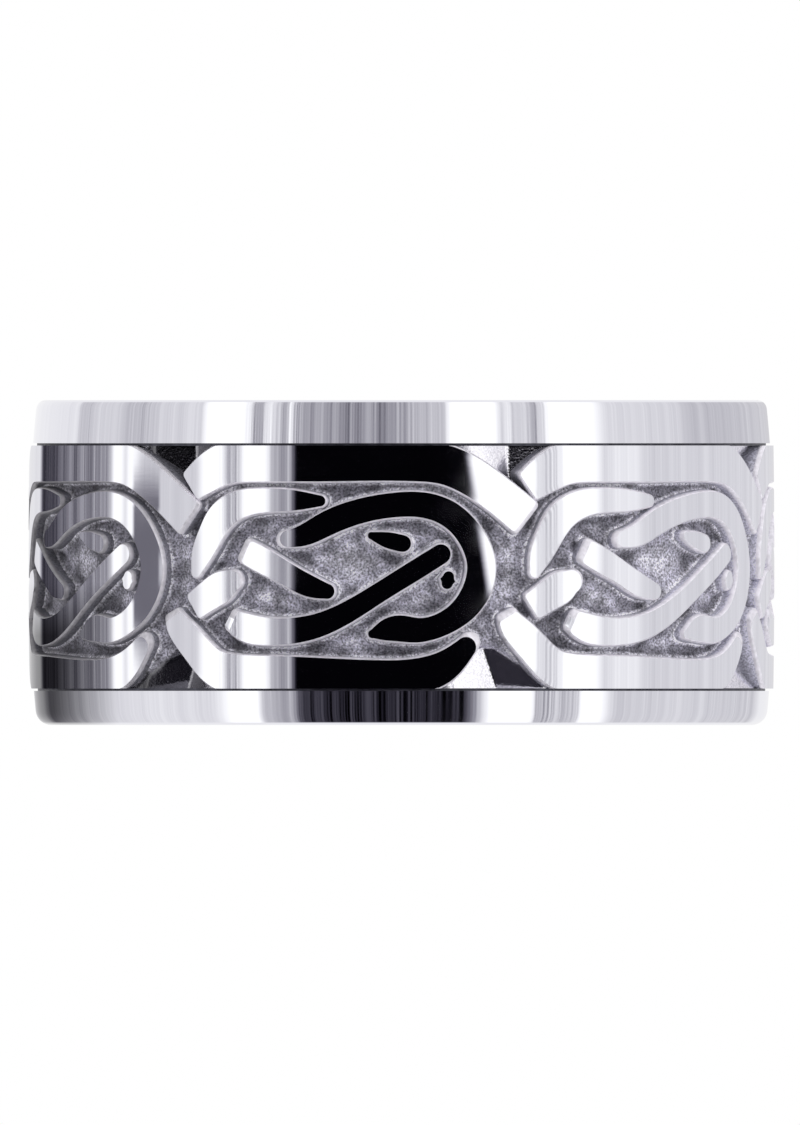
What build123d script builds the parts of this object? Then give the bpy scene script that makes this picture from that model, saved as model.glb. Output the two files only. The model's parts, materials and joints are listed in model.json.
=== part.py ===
from build123d import *
import os
from math import degrees, radians, sin, sqrt

# A cast and polished silver wedding band, lying on its side with the finger axis up.
# A knot of flat strands stands proud of a sunk ground between two plain rails, and the
# knot repeats in panels round the finger. Everything is one piece of metal.
# The origin is the centre of the lower face. An angle round the finger is 0 at -Y, the
# side that faces the viewer, and grows towards +X.

# The band, in millimetres
bore_diameter = 18.95
wall = 2.0
band_width = 10.0
crown_drop = 0.26
bore_edge_radius = 0.35
upper_edge_radius = 0.3
lower_edge_radius = 0.48

# The rails, and the knot that stands between them
upper_rail = 1.33
lower_rail = 1.05
relief_depth = 0.5
root_depth = 0.25
rim_width = 0.06
scribe_width = 0.07
scribe_depth = 0.12

# The panels, in degrees: the long ones face the viewer and the others share what is left
panel_count = 7
long_panel_count = 3
long_panel_angle = 54.5
first_panel_start = -90.3

# A strand's outline: the length of its short straight walls in millimetres, and a round end's
# rows, each a share of half the strand's width outwards and a share of that width
wall_length = 0.5
round_end = [(0.60, 0.80), (0.95, 0.36)]

# One panel of the knot. Each row is a station on the middle line of a strand:
#   along  share of the panel's length, from its left end
#   up     share of the height between the rails, from the lower one
#   width  width of the strand's flat top, as a share of the same height. A rim is added on each side.
# Each end of a strand is round or square. The frames are the strands that run beside a rail.
knot = {
    "upper_frame": {
        "ends": ("square", "square"),
        "stations": [
            (0.022, 0.824, 0.125),
            (0.080, 0.880, 0.155),
            (0.140, 0.918, 0.166),
            (0.220, 0.926, 0.162),
            (0.450, 0.927, 0.162),
            (0.700, 0.927, 0.162),
            (0.780, 0.913, 0.160),
            (0.850, 0.870, 0.155),
            (0.925, 0.800, 0.150),
            (1.020, 0.693, 0.155),
        ],
    },
    "lower_frame": {
        "ends": ("square", "round"),
        "stations": [
            (-0.042, 0.318, 0.070),
            (-0.025, 0.270, 0.105),
            (0.000, 0.230, 0.122),
            (0.050, 0.158, 0.132),
            (0.100, 0.096, 0.145),
            (0.165, 0.067, 0.160),
            (0.300, 0.062, 0.156),
            (0.600, 0.053, 0.142),
            (0.700, 0.060, 0.142),
            (0.770, 0.092, 0.130),
            (0.820, 0.147, 0.100),
            (0.852, 0.195, 0.075),
        ],
    },
    "rising_strand": {
        "ends": ("round", "round"),
        "stations": [
            (0.043, 0.480, 0.045),
            (0.058, 0.540, 0.088),
            (0.087, 0.622, 0.110),
            (0.125, 0.703, 0.120),
            (0.180, 0.751, 0.112),
            (0.260, 0.769, 0.096),
            (0.350, 0.769, 0.082),
            (0.425, 0.767, 0.045),
        ],
    },
    "hook": {
        "ends": ("round", "round"),
        "stations": [
            (0.320, 0.612, 0.062),
            (0.370, 0.625, 0.084),
            (0.440, 0.672, 0.100),
            (0.540, 0.726, 0.100),
            (0.640, 0.751, 0.100),
            (0.720, 0.750, 0.103),
            (0.790, 0.715, 0.106),
            (0.853, 0.625, 0.110),
            (0.884, 0.500, 0.118),
            (0.868, 0.400, 0.116),
            (0.828, 0.322, 0.104),
            (0.770, 0.268, 0.094),
            (0.700, 0.245, 0.100),
            (0.640, 0.252, 0.104),
            (0.600, 0.240, 0.074),
            (0.575, 0.230, 0.036),
        ],
    },
    "short_strand": {
        "ends": ("square", "round"),
        "stations": [
            (0.192, 0.572, 0.096),
            (0.250, 0.530, 0.102),
            (0.330, 0.470, 0.092),
            (0.400, 0.420, 0.086),
            (0.445, 0.402, 0.062),
        ],
    },
    "long_strand": {
        "ends": ("square", "round"),
        "stations": [
            (0.150, 0.293, 0.080),
            (0.200, 0.257, 0.112),
            (0.270, 0.240, 0.109),
            (0.340, 0.242, 0.104),
            (0.420, 0.265, 0.097),
            (0.500, 0.315, 0.088),
            (0.600, 0.402, 0.080),
            (0.700, 0.491, 0.082),
            (0.768, 0.552, 0.080),
        ],
    },
    "lozenge": {
        "ends": ("square", "round"),
        "stations": [
            (0.032, 0.338, 0.112),
            (0.090, 0.390, 0.124),
            (0.140, 0.430, 0.116),
            (0.163, 0.447, 0.080),
        ],
    },
    "oval_drop": {
        "ends": ("round", "round"),
        "stations": [
            (0.572, 0.627, 0.030),
            (0.612, 0.611, 0.062),
            (0.660, 0.595, 0.068),
        ],
    },
    "round_drop": {
        "ends": ("round", "round"),
        "stations": [
            (0.790, 0.460, 0.046),
            (0.788, 0.449, 0.062),
            (0.786, 0.434, 0.046),
        ],
    },
}

# Worked out from the sizes above
bore_r = bore_diameter / 2
crown_r = bore_r + wall
ground_r = crown_r - relief_depth
mid_height = band_width / 2
knot_low, knot_high = lower_rail, band_width - upper_rail
knot_height = knot_high - knot_low
crown_arc_r = (mid_height**2 + crown_drop**2) / (2 * crown_drop)
short_panel_angle = (360 - long_panel_count * long_panel_angle) / (panel_count - long_panel_count)


def outside_r(height):
    """Radius of the crowned outside at a height above the lower face."""
    return crown_r - crown_arc_r + sqrt(crown_arc_r**2 - (height - mid_height) ** 2)


def turned(face):
    """The ring that a section, drawn with its radius along X, makes when it goes round the finger."""
    return revolve(Plane.XZ * face, Axis.Z)


def plain_band():
    """The band before carving: bore, flat faces and crowned outside, with every edge rounded."""
    low, high = (outside_r(0), 0), (outside_r(band_width), band_width)
    crown = ThreePointArc(low, (crown_r, mid_height), high)
    rest = Polyline(high, (bore_r, band_width), (bore_r, 0), low)
    outline = make_face(crown.edges() + rest.edges())
    roundings = [
        ((bore_r, 0), bore_edge_radius),
        ((bore_r, band_width), bore_edge_radius),
        (low, lower_edge_radius),
        (high, upper_edge_radius),
    ]
    for corner, radius in roundings:
        outline = fillet(outline.vertices().sort_by_distance(corner)[0], radius)
    return turned(outline)


def knot_channel():
    """What is cut away between the rails: down to the ground, but for a narrow ledge beside each rail."""
    rim = crown_r + relief_depth
    low, high = knot_low + 2 * scribe_width, knot_high - 2 * scribe_width
    low_ledge, high_ledge = (outside_r(height) - scribe_depth for height in (knot_low, knot_high))
    lower = [(rim, knot_low), (low_ledge, knot_low), (low_ledge, low), (ground_r, low)]
    upper = [(ground_r, high), (high_ledge, high), (high_ledge, knot_high), (rim, knot_high)]
    return turned(make_face(Polyline(*lower, *upper, close=True).edges()))


def relief_sleeve():
    """All that a strand may fill: from its root to the crown, and a scribed line from each rail."""
    height = knot_height - 2 * scribe_width
    sleeve = Cylinder(crown_r, height) - Cylinder(ground_r - root_depth, height)
    return Pos(Z=(knot_low + knot_high) / 2) * sleeve


def with_ends(rows, ends):
    """The rows of a strand, with narrowing ones added where an end is round."""
    (first, first_way, first_width), (last, last_way, last_width) = rows[0], rows[-1]
    for reach, narrowing in round_end:
        if ends[0] == "round":
            rows.insert(0, (first - first_way * reach * first_width / 2, first_way, first_width * narrowing))
        if ends[1] == "round":
            rows.append((last + last_way * reach * last_width / 2, last_way, last_width * narrowing))
    return rows


def strand_rows(strand, panel_angle):
    """Evenly spaced places on a strand's middle line, with its direction and width there.

    They are in millimetres round and up the crown. The width rides along as the third
    coordinate of one smooth curve through the stations.
    """
    panel_length = radians(panel_angle) * crown_r
    stations = [
        (along * panel_length, knot_low + up * knot_height, width * knot_height + 2 * rim_width)
        for along, up, width in strand["stations"]
    ]
    curve = Spline(*stations)
    count = round(curve.length / wall_length) + 1
    rows = []
    for index in range(count + 1):
        point, way = curve @ (index / count), curve % (index / count)
        rows.append((Vector(point.X, point.Y), Vector(way.X, way.Y).normalized(), point.Z))
    return with_ends(rows, strand["ends"])


def strand_solid(strand, panel_angle):
    """A strand whose top follows the crown, in a panel that starts at angle 0.

    Its outline is drawn as it is seen from in front of its own middle, and goes straight inwards.
    """
    rows = strand_rows(strand, panel_angle)
    sides = [(place, way.rotate(Axis.Z, 90) * (width / 2)) for place, way, width in rows]
    outline = [place + side for place, side in sides] + [place - side for place, side in reversed(sides)]
    angles = [point.X / crown_r for point in outline]
    middle = (min(angles) + max(angles)) / 2
    seen = [(crown_r * sin(angle - middle), point.Y) for angle, point in zip(angles, outline)]
    face = Plane.XZ * make_face(Polyline(*seen, close=True).edges())
    return Rot(Z=degrees(middle)) * extrude(face, amount=crown_r + relief_depth)


def panel_relief(panel_angle):
    """The raised strands of one panel that starts at angle 0."""
    sleeve = relief_sleeve()
    return [strand_solid(strand, panel_angle) & sleeve for strand in knot.values()]


def panel_starts():
    """Where each panel starts and how long it is, in degrees."""
    angles = [long_panel_angle] * long_panel_count
    angles += [short_panel_angle] * (panel_count - long_panel_count)
    starts = [first_panel_start + sum(angles[:index]) for index in range(panel_count)]
    return zip(starts, angles)


reliefs = {angle: panel_relief(angle) for angle in (long_panel_angle, short_panel_angle)}
strands = [Rot(Z=start) * strand for start, angle in panel_starts() for strand in reliefs[angle]]
ring_band = plain_band() - knot_channel() + strands

os.makedirs("parts", exist_ok=True)
export_step(ring_band, "parts/ring_band.step")
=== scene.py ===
# %% [markdown]
# A wide silver wedding band with a raised knot, lying on its side.
#
# The real ring is one casting. A knot of flat strands stands proud of a sunk, stippled ground
# between two plain rails. The tops were turned and buffed to a mirror, and the ground was left
# as cast and blackened, so that the knot reads from a distance.
#
# We load the fixed frame first. It holds the plain solid of the ring at its real size, and
# everything below is built round it.

# %% Load the frame
import json
from math import cos, pi, radians, sin, sqrt

import bpy
import numpy as np
from mathutils.kdtree import KDTree
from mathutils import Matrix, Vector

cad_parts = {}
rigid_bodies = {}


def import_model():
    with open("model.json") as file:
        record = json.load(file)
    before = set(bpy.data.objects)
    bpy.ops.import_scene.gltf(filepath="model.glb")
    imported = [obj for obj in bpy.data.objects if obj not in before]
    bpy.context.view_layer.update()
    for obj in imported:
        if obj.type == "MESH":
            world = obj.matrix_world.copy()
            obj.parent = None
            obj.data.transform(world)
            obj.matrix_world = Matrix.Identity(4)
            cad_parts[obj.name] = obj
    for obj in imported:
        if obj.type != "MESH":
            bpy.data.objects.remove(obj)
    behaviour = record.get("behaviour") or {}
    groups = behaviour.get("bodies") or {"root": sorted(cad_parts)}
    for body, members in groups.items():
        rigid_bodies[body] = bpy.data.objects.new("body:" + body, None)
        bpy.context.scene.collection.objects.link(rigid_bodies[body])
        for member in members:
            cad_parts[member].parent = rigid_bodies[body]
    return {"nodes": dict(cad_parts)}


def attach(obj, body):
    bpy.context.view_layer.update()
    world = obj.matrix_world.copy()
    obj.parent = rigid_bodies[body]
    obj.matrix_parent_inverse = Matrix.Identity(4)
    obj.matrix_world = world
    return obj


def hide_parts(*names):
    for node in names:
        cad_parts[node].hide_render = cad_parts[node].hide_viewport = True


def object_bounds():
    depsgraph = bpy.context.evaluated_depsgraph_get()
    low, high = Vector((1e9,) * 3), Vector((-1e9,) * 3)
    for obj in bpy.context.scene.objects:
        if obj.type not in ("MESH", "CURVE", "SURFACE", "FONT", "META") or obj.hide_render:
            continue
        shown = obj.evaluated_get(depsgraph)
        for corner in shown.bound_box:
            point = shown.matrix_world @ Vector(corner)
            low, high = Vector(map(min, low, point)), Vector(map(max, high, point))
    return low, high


bpy.ops.object.select_all(action="SELECT")
bpy.ops.object.delete()
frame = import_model()
mm = 0.001
cad_low, cad_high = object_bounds()
print("the frame holds", len(frame["nodes"]), "solid")
print("it measures", [round(side / mm, 3) for side in cad_high - cad_low], "mm")

# %% [markdown]
# The sizes of the band. They are in millimetres, and only what goes into Blender is turned into
# metres. The outer radius and the width come from the frame, so the dressed ring can't drift away
# from the solid one. The solid is made of flat facets, so its true radius is a hair larger than
# the facets reach along an axis. The knot's tops are crowned far less than the rails are: they drop
# by 0.03 mm on their way from the middle to a rail.

# %% Sizes of the band
crown_r = (cad_high.x - cad_low.x) / 2 / mm
band_width = (cad_high.z - cad_low.z) / mm
wall = 2.0
bore_r = crown_r - wall
crown_drop = 0.26
bore_edge_radius = 0.35
upper_edge_radius = 0.3
lower_edge_radius = 0.48
upper_rail = 1.33
lower_rail = 1.05
relief_depth = 0.5
scribe_width = 0.07
scribe_depth = 0.12
ledge_width = 0.08
knot_drop = 0.03

mid_height = band_width / 2
ground_r = crown_r - relief_depth
knot_low, knot_high = lower_rail, band_width - upper_rail
knot_height = knot_high - knot_low
crown_arc_r = (mid_height**2 + crown_drop**2) / (2 * crown_drop)


def outside_r(height):
    """Radius of the crowned outside at a height above the lower face."""
    return crown_r - crown_arc_r + sqrt(crown_arc_r**2 - (height - mid_height) ** 2)


# %% [markdown]
# The knot repeats in seven panels round the finger. An angle round the finger is 0 at -Y, the
# side that faces us, and grows towards +X. Three long panels face the camera, and four slightly
# shorter ones share the rest of the circle.

# %% Panels
panel_count = 7
long_panel_count = 3
long_panel_angle = 54.5
first_panel_start = -90.3
short_panel_angle = (360 - long_panel_count * long_panel_angle) / (panel_count - long_panel_count)

panels = []
start = first_panel_start
for index in range(panel_count):
    angle = long_panel_angle if index < long_panel_count else short_panel_angle
    panels.append((start, angle))
    start += angle
print("panels start at", [round(start, 1) for start, angle in panels], "degrees")

# %% [markdown]
# One panel of the knot, drawn the way a jeweller sets out a pattern on a flat strip: each strand
# is a middle line with a width. The line goes smoothly through a few stations. A station says how
# far along the panel it is, how far up between the rails, and how wide the strand's flat top is
# there, the last two as shares of the height between the rails.

# %% The knot
knot = {
    "upper_frame": {
        "ends": ("square", "square"),
        "stations": [
            (0.022, 0.824, 0.125),
            (0.080, 0.880, 0.155),
            (0.140, 0.918, 0.166),
            (0.220, 0.926, 0.162),
            (0.450, 0.927, 0.162),
            (0.700, 0.927, 0.162),
            (0.780, 0.913, 0.160),
            (0.850, 0.870, 0.155),
            (0.925, 0.800, 0.150),
            (1.020, 0.693, 0.155),
        ],
    },
    "lower_frame": {
        "ends": ("square", "round"),
        "stations": [
            (-0.042, 0.318, 0.070),
            (-0.025, 0.270, 0.105),
            (0.000, 0.230, 0.122),
            (0.050, 0.158, 0.132),
            (0.100, 0.096, 0.145),
            (0.165, 0.067, 0.160),
            (0.300, 0.062, 0.156),
            (0.600, 0.053, 0.142),
            (0.700, 0.060, 0.142),
            (0.770, 0.092, 0.130),
            (0.820, 0.147, 0.100),
            (0.852, 0.195, 0.075),
        ],
    },
    "rising_strand": {
        "ends": ("round", "round"),
        "stations": [
            (0.043, 0.480, 0.045),
            (0.058, 0.540, 0.088),
            (0.087, 0.622, 0.110),
            (0.125, 0.703, 0.120),
            (0.180, 0.751, 0.112),
            (0.260, 0.769, 0.096),
            (0.350, 0.769, 0.082),
            (0.425, 0.767, 0.045),
        ],
    },
    "hook": {
        "ends": ("round", "round"),
        "stations": [
            (0.320, 0.612, 0.062),
            (0.370, 0.625, 0.084),
            (0.440, 0.672, 0.100),
            (0.540, 0.726, 0.100),
            (0.640, 0.751, 0.100),
            (0.720, 0.750, 0.103),
            (0.790, 0.715, 0.106),
            (0.853, 0.625, 0.110),
            (0.884, 0.500, 0.118),
            (0.868, 0.400, 0.116),
            (0.828, 0.322, 0.104),
            (0.770, 0.268, 0.094),
            (0.700, 0.245, 0.100),
            (0.640, 0.252, 0.104),
            (0.600, 0.240, 0.074),
            (0.575, 0.230, 0.036),
        ],
    },
    "short_strand": {
        "ends": ("square", "round"),
        "stations": [
            (0.192, 0.572, 0.096),
            (0.250, 0.530, 0.102),
            (0.330, 0.470, 0.092),
            (0.400, 0.420, 0.086),
            (0.445, 0.402, 0.062),
        ],
    },
    "long_strand": {
        "ends": ("square", "round"),
        "stations": [
            (0.150, 0.293, 0.080),
            (0.200, 0.257, 0.112),
            (0.270, 0.240, 0.109),
            (0.340, 0.242, 0.104),
            (0.420, 0.265, 0.097),
            (0.500, 0.315, 0.088),
            (0.600, 0.402, 0.080),
            (0.700, 0.491, 0.082),
            (0.768, 0.552, 0.080),
        ],
    },
    "lozenge": {
        "ends": ("square", "round"),
        "stations": [
            (0.032, 0.338, 0.112),
            (0.090, 0.390, 0.124),
            (0.140, 0.430, 0.116),
            (0.163, 0.447, 0.080),
        ],
    },
    "oval_drop": {
        "ends": ("round", "round"),
        "stations": [
            (0.572, 0.627, 0.030),
            (0.612, 0.611, 0.062),
            (0.660, 0.595, 0.068),
        ],
    },
    "round_drop": {
        "ends": ("round", "round"),
        "stations": [
            (0.790, 0.460, 0.046),
            (0.788, 0.449, 0.062),
            (0.786, 0.434, 0.046),
        ],
    },
}

# %% [markdown]
# Finishes. A material in Blender is a small graph of nodes. One helper adds a node, sets it up
# and links it, so each finish below reads as a list of what it is made of. Colours are written as
# the sRGB hex values that a paint program shows, and one function turns them into the linear
# values that the renderer works in.

# %% Helpers for node trees
# The sockets of a Mix node for each kind of data: its two inputs and its output
mix_sockets = {"FLOAT": (2, 3, 0), "VECTOR": (4, 5, 1), "RGBA": (6, 7, 2)}


def add_node(tree, kind, settings=None, inputs=None):
    """Adds a node. Each input is a plain value, or the output socket of another node."""
    new = tree.nodes.new(kind)
    for name, value in (settings or {}).items():
        setattr(new, name, value)
    for name, value in (inputs or {}).items():
        if isinstance(value, bpy.types.NodeSocket):
            tree.links.new(value, new.inputs[name])
        else:
            new.inputs[name].default_value = value
    return new


def calculated(tree, kind, *values):
    """The value of one math node. It works on values and on other nodes' outputs."""
    return add_node(tree, "ShaderNodeMath", {"operation": kind}, dict(enumerate(values))).outputs["Value"]


def product(tree, factors):
    """The product of several values."""
    result = factors[0]
    for factor in factors[1:]:
        result = calculated(tree, "MULTIPLY", result, factor)
    return result


def length_of(tree, vector):
    """The length of a vector."""
    return add_node(tree, "ShaderNodeVectorMath", {"operation": "LENGTH"}, {0: vector}).outputs["Value"]


def mapped(tree, value, before, after):
    """A value carried from one range to another, and kept within the second."""
    return add_node(tree, "ShaderNodeMapRange", inputs={
        "Value": value, "From Min": before[0], "From Max": before[1],
        "To Min": after[0], "To Max": after[1]}).outputs["Result"]


def mixed(tree, share, none, all_of_it, kind="FLOAT"):
    """A value or a colour between two others, by a share."""
    first, second, result = mix_sockets[kind]
    return add_node(tree, "ShaderNodeMix", {"data_type": kind}, {
        0: share, first: none, second: all_of_it}).outputs[result]


def ramped(tree, value, stops):
    """A colour ramp over a value. Each stop is a position and the four channels of a colour."""
    node = add_node(tree, "ShaderNodeValToRGB", inputs={"Fac": value})
    elements = node.color_ramp.elements
    while len(elements) > 1:
        elements.remove(elements[0])
    for index, (position, colour) in enumerate(stops):
        stop = elements[0] if index == 0 else elements.new(position)
        stop.position = position
        stop.color = colour
    return node


def linear(code):
    """The linear colour of an sRGB hex value."""
    channels = []
    for at in (1, 3, 5):
        share = int(code[at:at + 2], 16) / 255
        channels.append(share / 12.92 if share <= 0.04045 else ((share + 0.055) / 1.055) ** 2.4)
    return channels + [1]


def scaled(tree, colour, share):
    """A colour of three channels, made darker or lighter by a share."""
    return add_node(tree, "ShaderNodeVectorMath", {"operation": "SCALE"}, {
        0: colour, "Scale": share}).outputs["Vector"]


def new_material(name):
    """An empty material, with its tree and its Principled shader already wired to the output."""
    material = bpy.data.materials.new(name)
    material.use_nodes = True
    tree = material.node_tree
    return material, tree, tree.nodes["Principled BSDF"]


def object_place(tree):
    """Where a point is in the ring, in metres. Every piece sits at the origin, unturned."""
    return add_node(tree, "ShaderNodeTexCoord").outputs["Object"]


def noise(tree, place, size, detail=2.0):
    """A cloudy pattern whose lumps are about so many millimetres across."""
    return add_node(tree, "ShaderNodeTexNoise", inputs={
        "Vector": place, "Scale": 1 / (size * mm), "Detail": detail}).outputs["Fac"]


def bumped(tree, height, strength, distance):
    """The surface's normal, tilted as if a pattern stood so many millimetres proud of it."""
    return add_node(tree, "ShaderNodeBump", inputs={
        "Height": height, "Strength": strength, "Distance": distance * mm}).outputs["Normal"]


# %% [markdown]
# Sterling silver, turned on a lathe and buffed to a mirror. Silver is a metal, so all its colour
# is in its reflection: nearly white, a touch cool. Buffing leaves it almost perfectly smooth, with
# a faint haze in places and lines along the way that the wheel ran, round the finger. The lines on
# the real ring are finer than a pixel, so they are drawn at 0.12 mm, where they just show. Low on
# its left side the ring's colour is darkened, a painted shade that stands in for the dark
# reflections there, so it mirrors less: a point is darkened when it is both far to the left and
# low, so of its two shares the lighter one counts.

# %% Polished silver
# Noise rarely comes near 0 or 1. Most of a cloud, and most of a fine grain, lies between these
cloud_spread = (0.35, 0.65)
grain_spread = (0.36, 0.64)


def painted_shading(tree, place, ends, shares, axis="X"):
    """Painted shading: a share going from one value to another along an axis, between two places in mm."""
    along = add_node(tree, "ShaderNodeSeparateXYZ", inputs={"Vector": place}).outputs[axis]
    return mapped(tree, along, (ends[0] * mm, ends[1] * mm), shares)


def polished_silver():
    """Mirror polished sterling silver, with a painted shade low on the left side of the ring."""
    material, tree, shader = new_material("polished_silver")
    place = object_place(tree)
    haze = noise(tree, place, 1.5, detail=3.0)
    lathe = add_node(tree, "ShaderNodeMapping", inputs={"Vector": place, "Scale": (0.15, 0.15, 1.0)})
    lines = noise(tree, lathe.outputs["Vector"], 0.12)
    # Painted shade: the colour is darkened where a point is both far to the left and low
    painted_shade_share = calculated(
        tree, "MAXIMUM",
        painted_shading(tree, place, (-10.7, -8.7), (0.08, 1.0)),
        painted_shading(tree, place, (2.6, 4.4), (0.0, 1.0), axis="Z"),
    )
    tree.links.new(scaled(tree, linear("#F2F2F8")[:3], painted_shade_share), shader.inputs["Base Color"])
    shader.inputs["Metallic"].default_value = 1.0
    tree.links.new(mapped(tree, haze, (0.35, 0.75), (0.02, 0.06)), shader.inputs["Roughness"])
    tree.links.new(bumped(tree, lines, 0.0015, 0.02), shader.inputs["Normal"])
    return material


# %% [markdown]
# The edges of the strands. A buffing wheel is soft and rolls over every edge, so each top ends in
# a narrow rounded rim. It is as bright as the top but not as flat, so it gathers light from all
# round and draws a pale line beside the dark reflections. Its scratches are too fine to see, and
# scatter most of the light, so it is set a quarter metal and the rest matt. Towards the left side
# of the ring the rims are painted darker, a painted shade.

# %% Buffed edges


def buffed_edge():
    """The rounded rim of a strand, buffed but not flat, with a painted shade on the left."""
    material, tree, shader = new_material("buffed_edge")
    place = object_place(tree)
    nicks = noise(tree, place, 0.15, detail=3.0)
    # Painted shade: the rims are darker towards the left side; the nicks vary their tone at random
    nicks_and_painted_shade = product(tree, [
        painted_shading(tree, place, (-11, -6.5), (0.35, 1.0)),
        mapped(tree, nicks, cloud_spread, (0.8, 1.0)),
    ])
    tree.links.new(scaled(tree, linear("#FBF8FF")[:3], nicks_and_painted_shade), shader.inputs["Base Color"])
    shader.inputs["Metallic"].default_value = 0.25
    shader.inputs["Roughness"].default_value = 0.3
    tree.links.new(bumped(tree, nicks, 0.3, 0.02), shader.inputs["Normal"])
    return material


# %% [markdown]
# The ground. It keeps the skin of the casting, punched with a fine stipple, and was blackened with
# liver of sulphur. The black was then rubbed back, so it stays where the cloth couldn't reach: in
# narrow places between strands and in cloudy patches. Right beside each strand the ground is
# painted nearly white, a painted highlight of the fillet there, and towards the left side of the
# ring it is painted darker, a painted shade. The high grains are bare grey metal. In the pockets
# between two panels the ground was filed to two slanting facets, which shine; towards the left
# they are painted dark, a painted shade in place of their reflection. The mesh below carries three
# numbers for this: how far each point is from the nearest strand, how crowded its surroundings
# are, and whether it was filed.

# %% Blackened ground
grain_size = 0.065
# How bright the ground is painted at so many millimetres from a strand: nearly white right beside
# it, a painted highlight, then darker, and lighter again in the open
ground_colours_with_painted_highlight = [
    (0.0, "#FFFDFF"), (0.05, "#E4E2EC"), (0.12, "#ABA9B4"), (0.24, "#9C9AA6"), (0.50, "#BDBBC6"),
    (1.0, "#CBC9D4"),
]


def blackened_ground():
    """As-cast silver with a stipple, blackened and rubbed back, with painted highlight and shade."""
    material, tree, shader = new_material("blackened_ground")
    place = object_place(tree)
    distance, crowding, filed = (
        add_node(tree, "ShaderNodeAttribute", {"attribute_name": name}).outputs["Fac"]
        for name in ("distance", "crowding", "filed")
    )
    cloud = noise(tree, place, 0.6, detail=3.0)
    grain = noise(tree, place, grain_size)
    # The ramp paints a highlight right beside each strand, then darker and lighter bands beyond it
    rubbed = ramped(tree, distance, [(position, linear(code)) for position, code in ground_colours_with_painted_highlight])
    crowded = mapped(tree, crowding, (0.40, 0.72), (1.0, 0.45))
    shade = product(tree, [
        mapped(tree, cloud, cloud_spread, (0.55, 1.65)),
        mapped(tree, grain, grain_spread, (0.45, 1.6)),
        mixed(tree, mapped(tree, distance, (0.03, 0.12), (0, 1)), 1.0, crowded),
        # Painted shade: the ground is darker towards the left side of the ring
        painted_shading(tree, place, (-11, -5), (0.6, 1.0)),
    ])
    bare = product(tree, [
        mapped(tree, grain, grain_spread, (0.85, 1.05)),
        # Painted shade: the filed facets are darker towards the left, in place of their reflection
        painted_shading(tree, place, (-7.9, -3), (0.1, 1.0)),
    ])
    stippled = scaled(tree, rubbed.outputs["Color"], shade)
    facet = scaled(tree, linear("#F8F6FE")[:3], bare)
    tree.links.new(mixed(tree, filed, stippled, facet, "VECTOR"), shader.inputs["Base Color"])
    tree.links.new(mixed(tree, filed, 0.5, 1.0), shader.inputs["Metallic"])
    tree.links.new(mixed(tree, filed, 0.5, 0.12), shader.inputs["Roughness"])
    tree.links.new(bumped(tree, grain, mixed(tree, filed, 0.6, 0.1), 0.05), shader.inputs["Normal"])
    return material


# %% [markdown]
# The walls of the strands were reached by the polishing grit but not by the wheel, so they are
# satin, half metal and half matt, and keep the grain of the casting. The black creeps up them
# from the ground. How high a point is comes from its distance to the finger axis. The walls are
# also painted darker towards the left side of the ring and lighter towards the right, a painted
# shade and a painted light. The lines that were scribed along the rails are too narrow for any
# cloth, and stay black.

# %% Satin walls and scribed lines
# Where a wall ends and the rim begins: so far out from the strand's flat top, and so far below it
rim_out, rim_foot = 0.06, 0.14


def satin_wall():
    """The side of a strand, grained, blackened towards its foot, with painted shade and light by side."""
    material, tree, shader = new_material("satin_wall")
    place = object_place(tree)
    level = add_node(tree, "ShaderNodeVectorMath", {"operation": "MULTIPLY"}, {0: place, 1: (1, 1, 0)})
    from_axis = length_of(tree, level.outputs["Vector"])
    grain = noise(tree, place, grain_size)
    shade = product(tree, [
        mapped(tree, from_axis, (ground_r * mm, (crown_r - rim_foot) * mm), (0.4, 1.0)),
        mapped(tree, grain, grain_spread, (0.7, 1.3)),
        # Painted shade towards the left side of the ring, and painted light towards the right
        painted_shading(tree, place, (-11, -5), (0.5, 1.0)),
        painted_shading(tree, place, (5, 10), (1.0, 1.5)),
    ])
    tree.links.new(scaled(tree, linear("#CCCBD6")[:3], shade), shader.inputs["Base Color"])
    shader.inputs["Metallic"].default_value = 0.5
    shader.inputs["Roughness"].default_value = 0.35
    tree.links.new(bumped(tree, grain, 0.4, 0.03), shader.inputs["Normal"])
    return material


def blackened_line():
    """The line scribed along a rail."""
    material, tree, shader = new_material("blackened_line")
    shade = mapped(tree, noise(tree, object_place(tree), 0.3), cloud_spread, (0.7, 1.2))
    tree.links.new(scaled(tree, linear("#54545C")[:3], shade), shader.inputs["Base Color"])
    shader.inputs["Metallic"].default_value = 1.0
    shader.inputs["Roughness"].default_value = 0.4
    return material


# %% All the finishes
finishes = [polished_silver(), buffed_edge(), blackened_ground(), satin_wall(), blackened_line()]
polished, edge, ground_finish, wall_finish, line_finish = range(len(finishes))


def give_finishes(piece):
    """Puts every finish on a piece in the same order, so that a face picks its own by number."""
    for finish in finishes:
        piece.data.materials.append(finish)


print("finishes:", ", ".join(finish.name for finish in finishes))

# %% [markdown]
# A strand starts as Blender's grid primitive. Its long way becomes the strand's length and its
# short way the width, and each point of the grid is moved to its place between the strand's two
# sides. That needs the two sides first. A natural cubic spline goes through the stations, as a
# springy batten does when it is bent round pegs, and rows are taken from it at even steps.

# %% The middle line of a strand
batten_steps = 60


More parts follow.
